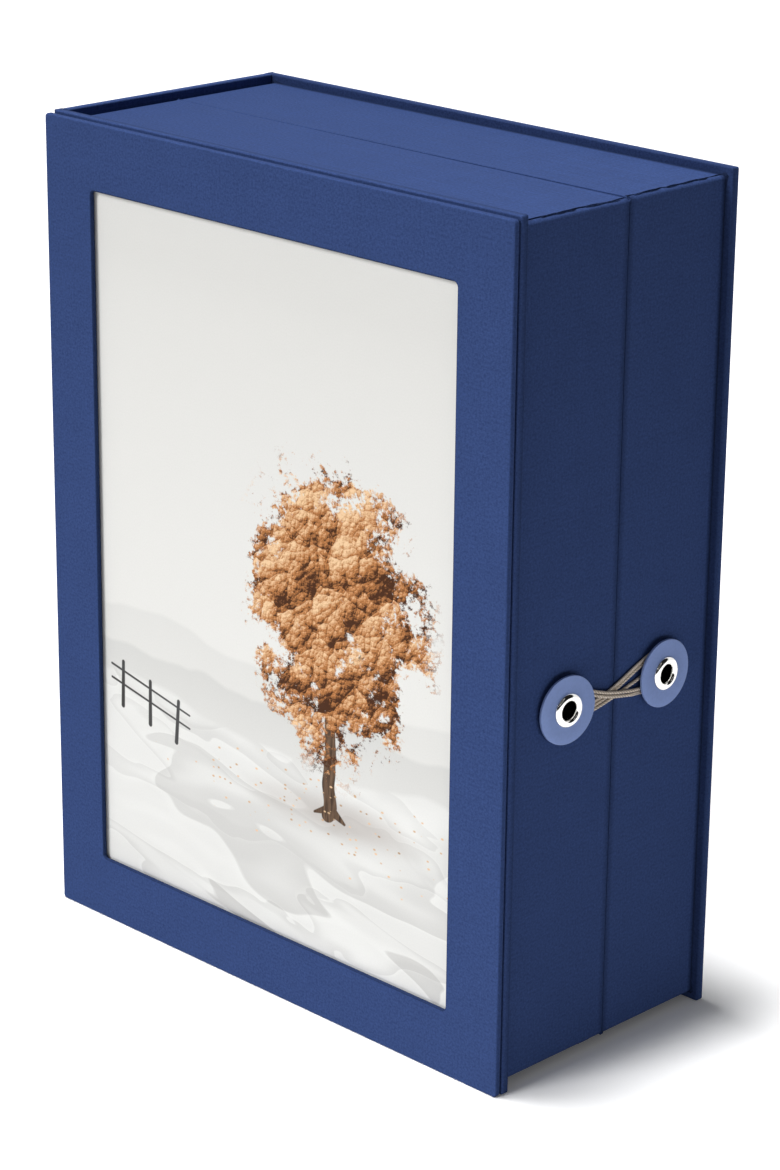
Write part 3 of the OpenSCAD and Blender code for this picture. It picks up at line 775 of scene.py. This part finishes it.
def buildTray(name, node, body, rimSide, eyeletY):
    # the sheet runs from under the base, up the walls, over the rim and down inside
    size = traySizes
    low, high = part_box(node)
    rimY = high.y if rimSide > 0 else low.y
    baseY = low.y if rimSide > 0 else high.y
    bm = boxMesh(low, high)
    roundEdges(bm, edgesAlong(bm, 1), size["corner"], size["cornerSegments"])
    bm.normal_update()
    rimFace = facesAt(bm, 1, rimY)
    bmesh.ops.inset_region(bm, faces=rimFace, thickness=size["wall"], use_even_offset=True)
    _, bottom = pushFaces(bm, rimFace, (0, -rimSide * size["turnIn"], 0))
    bmesh.ops.delete(bm, geom=bottom + [f for f in rimFace if f.is_valid], context="FACES")
    baseFace = facesAt(bm, 1, baseY)
    bmesh.ops.inset_region(bm, faces=baseFace, thickness=size["baseTurnIn"], use_even_offset=True)
    bmesh.ops.delete(bm, geom=baseFace, context="FACES")
    bmesh.ops.recalc_face_normals(bm, faces=bm.faces)
    bm.normal_update()
    for place, radius in ((rimY, size["rim"]), (baseY, size["base"])):
        sharp = [e for e in bm.edges if isCorner(e) and all(abs(v.co.y - place) < nearby for v in e.verts)]
        roundEdges(bm, sharp, radius, size["segments"])
    bm.normal_update()
    cutHole(bm, high.x, eyeletY, tieSizes["height"], size["eyeletHole"])
    cutFlapLine(bm, low, high, name)
    for vert in bm.verts:
        if vert.co.z > high.z - size["climbStart"]:
            vert.co.z += size["headRise"][name] * (high.x - vert.co.x) / (high.x - low.x)
    markEdgeHighlight(bm)
    markPaintedShade(bm, baseY, rimY, high.x)
    clothUv(bm)
    piece = finishPiece(name, bm, bookCloth, extraMaterials=[rawEdgeAndGapShade])
    solid = piece.modifiers.new("clothThickness", "SOLIDIFY")
    solid.thickness = size["clothThickness"]
    solid.offset = -1
    evenShading(piece)
    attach(piece, body)
    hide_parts(node)


def middleOf(node, axis):
    low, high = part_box(node)
    return (low[axis] + high[axis]) / 2


tieSizes = {
    "height": middleOf("back_disc", 2),
    "frontY": middleOf("front_disc", 1), "backY": middleOf("back_disc", 1),
    "frontTilt": 5.5, "frontLift": 0.001586, "backLift": 0.0014,
    "discRadius": 0.008, "discHole": 0.00245, "discThickness": 0.0007, "discEdge": 0.00018,
    "bore": 0.00205, "flange": 0.00395, "flangeHeight": 0.0008,
    "clinch": 0.0035, "metal": 0.00025, "wall": 0.00205,
    "wallX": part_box("front_tray_cloth")[1].x,
    "crestShare": 0.40,  # where the flange is highest, as a share of the way from the bore to its edge
    "flangeFoot": 0.00012, "throat": 0.0004, "discSides": 96, "eyeletSides": 72,
    "seat": 0.00006, "seatAtHole": 0.00008,  # how far the flange presses into the card
    "lip": 0.0002, "clinchRound": 0.0001,  # the rolled rim inside the tray
    "ringWidth": 0.0004, "ringFade": 0.0003,  # the card pressed down by the flange, and the painted highlight at the disc's rim
    "stringRadius": 0.0004, "stringLevel": 0.00055, "pitch": 0.0009, "twist": 0.0027, "plyDepth": 0.16,
    "routeStep": 0.00026, "grooveStep": 0.0001, "knotAngle": 150, "knotLength": 0.0009, "knotCoil": 0.00034,
    "slackRise": 0.00075,  # the turns on the back post lie a little slack, round a point above it
    "strandPoints": 32, "turnStep": 9, "tuckAngle": -340,  # degrees per point, and where the string ends
    "crossReach": 0.34, "crossSlope": 6,  # how much of an upper strand is lifted, and how fast it climbs
    "loopPoints": 60, "coilPoints": 48, "knotProud": 0.0001, "loopShare": 0.95,
    "risingSag": 0.00145, "fallingSag": 0.00095, "knotStrandSag": 0.00055,
}


def onForeEdge(bm, y):
    # what is made round +Z now stands out of the fore-edge wall along +X
    size = tieSizes
    place = Matrix.Translation((size["wallX"], y, size["height"])) @ Matrix.Rotation(radians(90), 4, "Y")
    bmesh.ops.transform(bm, matrix=place, verts=bm.verts)


def spinProfile(points, steps):
    bm = bmesh.new()
    verts = [bm.verts.new((r, 0, z)) for r, z in points]
    edges = [bm.edges.new(pair) for pair in zip(verts, verts[1:] + verts[:1])]
    bmesh.ops.spin(bm, geom=verts + edges, cent=(0, 0, 0), axis=(0, 0, 1), angle=tau, steps=steps,
                   use_merge=True)
    bmesh.ops.remove_doubles(bm, verts=bm.verts, dist=1e-7)
    bmesh.ops.recalc_face_normals(bm, faces=bm.faces)
    return bm


def arc(centre, radius, fromDegrees, toDegrees, steps):
    angles = [radians(fromDegrees + (toDegrees - fromDegrees) * i / steps) for i in range(steps + 1)]
    return [(centre[0] + radius * cos(a), centre[1] + radius * sin(a)) for a in angles]


def buildDisc(name, node, body, y, lift, tilt):
    size = tieSizes
    r, hole, t, e = size["discRadius"], size["discHole"], size["discThickness"], size["discEdge"]
    outline = [(hole, 0.0), (r - e, 0.0)] + arc((r - e, e), e, -60, 0, 3) + arc((r - e, t - e), e, 0, 90, 4)
    outline += [(size["flange"] + size["ringWidth"], t), (size["flange"], t - size["seat"]),
                (hole, t - size["seatAtHole"])]
    bm = spinProfile(outline, size["discSides"])
    bmesh.ops.rotate(bm, cent=(0, 0, 0), matrix=Matrix.Rotation(radians(tilt), 3, "X"), verts=bm.verts)
    bmesh.ops.translate(bm, vec=(0, 0, lift), verts=bm.verts)
    layer = bm.verts.layers.float.new("paintedEdgeLight")
    onForeEdge(bm, y)
    # a painted highlight along the disc's outer rim
    for vert in bm.verts:
        away = hypot(vert.co.y - y, vert.co.z - size["height"])
        vert[layer] = clamp((away - (r - size["ringWidth"])) / size["ringFade"])
    finishPiece(name, bm, discCard, body, [node], 50)


def buildEyelet(name, node, body, y, lift, tilt):
    size = tieSizes
    bore, metal, flange, high = size["bore"], size["metal"], size["flange"], size["flangeHeight"]
    barrel = bore + metal
    top = lift + size["discThickness"]
    inside = -size["wall"]
    half = (flange - bore) / 2
    crest = (flange - bore) * size["crestShare"]
    foot, throatDrop = size["flangeFoot"], high + size["throat"]
    flangeTop = [(flange, top), (flange, top + foot)]
    for a in (radians(90 * i / 12) for i in range(1, 13)):
        out = (flange - bore - crest) * (1 - cos(a) ** 1.25)
        flangeTop.append((flange - out, top + foot + (high - foot) * sin(a)))
    throat = [(bore + crest * (1 - sin(a)), top + high - throatDrop * (1 - cos(a)))
              for a in (radians(90 * i / 10) for i in range(1, 11))]
    rolled = [(bore, inside - metal * 0.4), (bore + size["lip"], inside - high * 0.8),
              (bore + half * 0.7, inside - high),
              (size["clinch"] - size["clinchRound"], inside - high * 0.45), (size["clinch"], inside)]
    outline = rolled + [(barrel, inside), (barrel, top)] + flangeTop + throat
    bm = spinProfile(outline, size["eyeletSides"])
    if tilt:
        lean = Matrix.Rotation(radians(tilt), 3, "X")
        raised = [v for v in bm.verts if v.co.z > lift]
        bmesh.ops.rotate(bm, cent=(0, 0, lift), matrix=lean, verts=raised)
    onForeEdge(bm, y)
    finishPiece(name, bm, brightNickel, body, [node], 60)


def stringRoute():
    # the string is tied at the back eyelet, wound in a figure of eight and tucked under the front disc
    size = tieSizes
    front, back = Vector((size["frontY"], size["height"])), Vector((size["backY"], size["height"]))
    slack = back + Vector((0, size["slackRise"]))
    line = slack - front
    tilt = degrees(atan2(line.y, line.x))
    level = size["stringLevel"]
    barrel = size["bore"] + size["metal"]

    def wrap(turn):
        return barrel + level + turn * size["pitch"]

    def onWrap(post, radius, angle):
        return post + radius * Vector((cos(radians(angle)), sin(radians(angle))))

    def slope(a, b):
        return degrees(asin((a + b) / line.length))

    def strand(start, end, over, sag):
        points, count = [], size["strandPoints"]
        for i in range(count + 1):
            t = i / count
            flat = start + (end - start) * t
            lift = clamp((size["crossReach"] - abs(t - 0.5)) * size["crossSlope"])
            lift = lift * lift * (3 - 2 * lift)
            share = clamp((flat.x - front.x) / (back.x - front.x))
            points.append((level + over * size["pitch"] * lift, flat.x,
                           flat.y - sag * sin(pi * share ** 0.85) ** 3))
        return points

    def turnRound(post, radius, start, end):
        steps = max(2, int(abs(end - start) / size["turnStep"]))
        return [(level, *onWrap(post, radius, start + (end - start) * i / steps)) for i in range(1, steps)]

    def fall(wrapFront, wrapBack, angle):
        return strand(onWrap(front, wrapFront, tilt + 90 - angle), onWrap(slack, wrapBack, tilt - 90 - angle),
                      1, size["fallingSag"])

    def rise(wrapBack, wrapFront, angle):
        return strand(onWrap(slack, wrapBack, tilt + 90 + angle), onWrap(front, wrapFront, tilt - 90 + angle),
                      0, size["risingSag"])

    f = [wrap(2), wrap(1), wrap(0)]
    b = [wrap(1) + size["slackRise"], wrap(2) + size["slackRise"]]
    knot = onWrap(back, wrap(0), size["knotAngle"])
    toKnot = knot - front
    first = degrees(atan2(toKnot.y, toKnot.x)) - 90 + degrees(asin(f[0] / toKnot.length))
    s1, s2, s3, s4 = slope(f[0], b[0]), slope(f[1], b[0]), slope(f[1], b[1]), slope(f[2], b[1])
    route = strand(knot, onWrap(front, f[0], first), 0, size["knotStrandSag"])
    route += turnRound(front, f[0], first, tilt - 270 - s1)
    route += fall(f[0], b[0], s1)
    route += turnRound(slack, b[0], tilt - 90 - s1, tilt + 90 + s2)
    route += rise(b[0], f[1], s2)
    route += turnRound(front, f[1], tilt - 90 + s2, tilt - 270 - s3)
    route += fall(f[1], b[1], s3)
    route += turnRound(slack, b[1], tilt - 90 - s3, tilt + 90 + s4)
    route += rise(b[1], f[2], s4)
    route += turnRound(front, f[2], tilt - 90 + s4, size["tuckAngle"])
    return [Vector((size["wallX"] + p[0], p[1], p[2])) for p in route]


def evenly(points, gap, closed=False):
    # the same route with its points a fixed distance apart
    if closed:
        points = points + [points[0]]
    lengths = [0.0]
    for a, b in zip(points, points[1:]):
        lengths.append(lengths[-1] + (b - a).length)
    count = max(2, round(lengths[-1] / gap))
    spaced, j = [], 0
    for i in range(count + (0 if closed else 1)):
        s = lengths[-1] * i / count
        while j < len(lengths) - 2 and lengths[j + 1] < s:
            j += 1
        step = lengths[j + 1] - lengths[j]
        t = 0 if step == 0 else (s - lengths[j]) / step
        spaced.append(points[j].lerp(points[j + 1], t))
    return spaced, lengths[-1]


def twistedString(name, routes, radius, twist):
    # three plies twisted together: a three-lobed outline that turns along the route
    profile = bpy.data.curves.new(name + "Outline", "CURVE")
    profile.dimensions = "2D"
    lobes = profile.splines.new("POLY")
    sides, depth = 18, tieSizes["plyDepth"]
    lobes.points.add(sides - 1)
    for i, point in enumerate(lobes.points):
        angle = tau * i / sides
        reach = radius * (1 - depth + depth * abs(cos(1.5 * angle)) ** 0.7)
        point.co = (reach * cos(angle), reach * sin(angle), 0, 1)
    lobes.use_cyclic_u = True
    outline = bpy.data.objects.new(name + "Outline", profile)
    curve = bpy.data.curves.new(name, "CURVE")
    curve.dimensions = "3D"
    curve.twist_mode = "MINIMUM"
    curve.bevel_mode = "OBJECT"
    curve.bevel_object = outline
    curve.use_fill_caps = True
    for route, closed in routes:
        points, length = evenly(route, tieSizes["routeStep"], closed)
        spline = curve.splines.new("POLY")
        spline.points.add(len(points) - 1)
        turns = max(1, round(length / twist)) if closed else length / twist
        for i, (point, place) in enumerate(zip(spline.points, points)):
            point.co = (*place, 1)
            point.tilt = tau * turns * i / len(points)
        spline.use_cyclic_u = closed
    holder = addObject(name + "Curve", curve)
    bpy.context.view_layer.update()
    mesh = bpy.data.meshes.new_from_object(holder.evaluated_get(bpy.context.evaluated_depsgraph_get()))
    bm = bmesh.new()
    bm.from_mesh(mesh)
    bmesh.ops.remove_doubles(bm, verts=bm.verts, dist=1e-7)
    bmesh.ops.recalc_face_normals(bm, faces=bm.faces)
    bpy.data.batch_remove([holder, outline, curve, profile, mesh])
    return bm


def markGroove(bm, routes, radius):
    # 1 on the crown of each ply, 0 down in the groove between two plies, for painted shade in the grooves
    centres = [p for route, closed in routes for p in evenly(route, tieSizes["grooveStep"], closed)[0]]
    tree = KDTree(len(centres))
    for i, p in enumerate(centres):
        tree.insert(p, i)
    tree.balance()
    depth = tieSizes["plyDepth"]
    layer = bm.verts.layers.float.new("groove")
    for vert in bm.verts:
        away = tree.find(vert.co)[2]
        vert[layer] = clamp((away / radius - (1 - depth)) / depth)


def buildString():
    size = tieSizes
    routes = [(stringRoute(), False)]
    bm = twistedString("tieString", routes, size["stringRadius"], size["twist"])
    markGroove(bm, routes, size["stringRadius"])
    return finishPiece("tieString", bm, waxedLinen, "back", ["tie_string"], 70)


def buildLoop():
    # the loop round the back eyelet, closed by a small overhand knot
    size = tieSizes
    x, y, z = size["wallX"] + size["stringLevel"], size["backY"], size["height"]
    reach = size["bore"] + size["metal"] + size["stringLevel"]
    ring = [Vector((x, y + reach * cos(a), z + reach * sin(a)))
            for a in (tau * i / size["loopPoints"] for i in range(size["loopPoints"]))]
    angle = radians(size["knotAngle"])
    knot = Vector((x + size["knotProud"], y + reach * cos(angle), z + reach * sin(angle)))
    out, side = Vector((0, cos(angle), sin(angle))), Vector((0, -sin(angle), cos(angle)))
    coil, count = [], size["coilPoints"]
    for i in range(count + 1):
        a = tau * 2 * i / count
        coil.append(knot + out * ((i / count - 0.5) * size["knotLength"])
                    + Vector((1, 0, 0)) * size["knotCoil"] * cos(a) + side * size["knotCoil"] * sin(a))
    routes, radius = [(ring, True), (coil, False)], size["stringRadius"] * size["loopShare"]
    bm = twistedString("tieLoop", routes, radius, size["twist"])
    markGroove(bm, routes, radius)
    finishPiece("tieLoop", bm, waxedLinen, "back", ["tie_loop"], 70)


buildPrint()
buildWindowFrame()
print("window frame and print made")
buildPanel("frontCover", "front_cover_cloth", "front")
buildPanel("backCover", "back_cover_cloth", "back")
buildPanel("spinePanel", "spine_cloth", "spine", alsoReplaces=["spine_lining"])
buildJoint("frontJoint", "front_joint_cloth", "spine", "front", -1)
buildJoint("backJoint", "back_joint_cloth", "spine", "back", 1)
print("case made")
tie = tieSizes
buildTray("frontTrayCloth", "front_tray_cloth", "front", 1, tie["frontY"])
buildTray("backTrayCloth", "back_tray_cloth", "back", -1, tie["backY"])
print("trays made")
buildDisc("frontDisc", "front_disc", "front", tie["frontY"], tie["frontLift"], tie["frontTilt"])
buildDisc("backDisc", "back_disc", "back", tie["backY"], tie["backLift"], 0)
buildEyelet("frontEyelet", "front_eyelet", "front", tie["frontY"], tie["frontLift"], tie["frontTilt"])
buildEyelet("backEyelet", "back_eyelet", "back", tie["backY"], tie["backLift"], 0)
tieString = buildString()
buildLoop()
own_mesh(tieString)
print("tie made")

cadMaterials = {"greyboard": greyBoard, "lining_paper": liningPaper, "book_cloth": bookCloth}
slotOf = {s["node"]: s["material_slot"] for s in frame["record"]["subparts"]}
for name, node in frame["nodes"].items():
    if node.hide_render:
        continue
    material = cadMaterials[slotOf[name]]
    node.data.materials.clear()
    node.data.materials.append(material)


roomLook = {
    "floorSize": 12, "floorSeen": 1.1, "floorBounce": 0.36, "sky": 0.11,
    "lamps": {  # share of white on a facing surface, direction towards the lamp, angle across
        "lampAbove": (0.88, (-0.11, -0.05, 1), 9),
        "lampFront": (0.56, (-0.21, -0.94, 0.63), 21),
    },
    "softboxes": {  # watts, place, what it points at, width and height
        "boxFront": (0.42, (0.0, -0.38, 0.03), (0, -0.03, 0.03), (0.5, 0.05)),
        "boxRight": (0.135, (0.30, -0.05, 0.06), (0.07, 0, 0.06), (0.2, 0.05)),
    },
    "flag": (0.80, -0.25, 0.55),  # a dark cloth hung here shows only in the metal, with a thin gap of light
    "flagReach": (64, 59), "flagGap": (22, 17, 12), "flagGlow": 0.6, "flagDark": 0.015,
}


def seenDirectly(g):
    # 1 where the camera looks, and where metal reflects, 0 for the light that falls on the object
    kinds = ("Camera", "Glossy", "Transmission")
    camera, glossy, through = (g.add("LightPath", f"Is {kind} Ray") for kind in kinds)
    return g.math("MAXIMUM", g.math("MAXIMUM", camera, glossy), through)


def flagColour(g):
    # white all round, but dark behind the flag for what metal reflects
    look = roomLook
    inputs = {0: g.add("TexCoord", "Generated"), 1: Vector(look["flag"]).normalized()}
    dot = g.add("VectorMath", "Value", inputs, operation="DOT_PRODUCT")
    share = g.math("ARCCOSINE", dot) / pi
    (outer, inner), (gapEnd, gapMiddle, gapStart) = look["flagReach"], look["flagGap"]
    dark, glow = grey(look["flagDark"]), grey(look["flagGlow"])
    stops = ((gapStart, dark), (gapMiddle, glow), (gapEnd, dark), (inner, dark), (outer, grey(1)))
    behind = g.ramp(share, *((angle / 180, colour) for angle, colour in stops))
    return g.mix(g.add("LightPath", "Is Glossy Ray"), grey(1), behind)


def buildRoom():
    look = roomLook
    bm = bmesh.new()
    bmesh.ops.create_grid(bm, x_segments=1, y_segments=1, size=look["floorSize"])
    floor = addObject("floor", meshFrom("floor", bm))
    n = Nodes("floorPaper")
    tone = n.mix(seenDirectly(n), grey(look["floorBounce"]), grey(look["floorSeen"]))
    floor.data.materials.append(n.finish(tone, 0.95, Specular_IOR_Level=0.0))

    world = bpy.data.worlds.new("studio")
    scene.world = world
    world.use_nodes = True
    g = Graph(world.node_tree)
    background = g.tree.nodes["Background"]
    g.put(background.inputs["Color"], flagColour(g))
    g.put(background.inputs["Strength"], g.spread(seenDirectly(g), 0.0, 1.0, look["sky"], 1.0))

    for name, (power, toward, angle) in look["lamps"].items():
        lamp = bpy.data.lights.new(name, "SUN")
        lamp.energy = power * pi
        lamp.angle = radians(angle)
        holder = addObject(name, lamp)
        holder.rotation_mode = "QUATERNION"
        holder.rotation_quaternion = Vector(toward).to_track_quat("Z", "Y")
        holder.location = Vector(toward)
    for name, (power, place, aim, (width, height)) in look["softboxes"].items():
        lamp = bpy.data.lights.new(name, "AREA")
        lamp.energy = power
        lamp.shape = "RECTANGLE"
        lamp.size, lamp.size_y = width, height
        holder = addObject(name, lamp)
        turn = (Vector(place) - Vector(aim)).to_track_quat("Z", "Y").to_matrix().to_4x4()
        holder.matrix_world = Matrix.Translation(place) @ turn
        holder.visible_camera = False
        holder.visible_glossy = False


cameraLook = {"place": (0.5296, -0.53097, 0.3572), "yaw": 44.6824, "pitch": 19.3350, "roll": 0.5969,
              "focal": 3361.44, "imageHeight": 1170, "sensor": 36.0, "clip": (0.01, 50)}


def buildCamera():
    look = cameraLook
    yaw, pitch, roll = (radians(look[k]) for k in ("yaw", "pitch", "roll"))
    forward = Vector((-sin(yaw) * cos(pitch), cos(yaw) * cos(pitch), -sin(pitch)))
    right = Vector((cos(yaw), sin(yaw), 0))
    up = right.cross(forward)
    turnedRight = cos(roll) * right + sin(roll) * up
    turnedUp = -sin(roll) * right + cos(roll) * up
    data = bpy.data.cameras.new("camera")
    data.sensor_width = look["sensor"]
    data.sensor_fit = "AUTO"
    data.lens = look["focal"] / look["imageHeight"] * look["sensor"]
    data.clip_start, data.clip_end = look["clip"]
    camera = addObject("camera", data)
    turn = Matrix((turnedRight, turnedUp, -forward)).transposed()
    camera.matrix_world = Matrix.Translation(look["place"]) @ turn.to_4x4()
    scene.camera = camera


buildRoom()
buildCamera()
scene.view_settings.view_transform = "Standard"
print("room, light and camera set")
